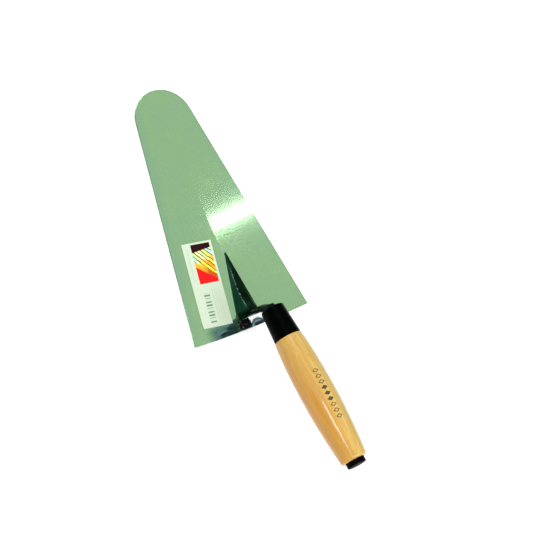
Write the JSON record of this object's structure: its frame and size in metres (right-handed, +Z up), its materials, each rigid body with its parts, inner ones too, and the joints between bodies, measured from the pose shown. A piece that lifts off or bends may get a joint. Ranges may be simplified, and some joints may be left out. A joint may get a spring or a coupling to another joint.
{
  "type": "hand trowel",
  "caption": "Round-nosed flat-bladed hand trowel with a cranked forged neck, black ferrule and turned wooden handle.",
  "frame": {"origin": "middle of the line between the heel corners, on the underside of the blade, which is the face it rests on", "axes": "+Y towards the nose of the blade, +X to its right, +Z up from the blade's face; the handle rises towards -Y"},
  "size_m": [0.116, 0.361, 0.0854],
  "materials": {
    "blade_steel": "satin rolled steel under a thin green lacquer",
    "black_forging": "thick glossy black paint over a forged surface",
    "weld_metal": "lumpy weld under black paint, worn bright on the high spots",
    "ferrule_black": "gloss black",
    "handle_wood": "pale beech, clear gloss varnish",
    "cap_black": "satin black",
    "label_paper": "semi-gloss printed paper"
  },
  "bodies": {
    "root": {"blade": "blade_steel", "shank": "black_forging", "heel_weld": "weld_metal", "ferrule": "ferrule_black", "handle": "handle_wood", "end_cap": "cap_black", "price_label": "label_paper"}
  },
  "joints": []
}
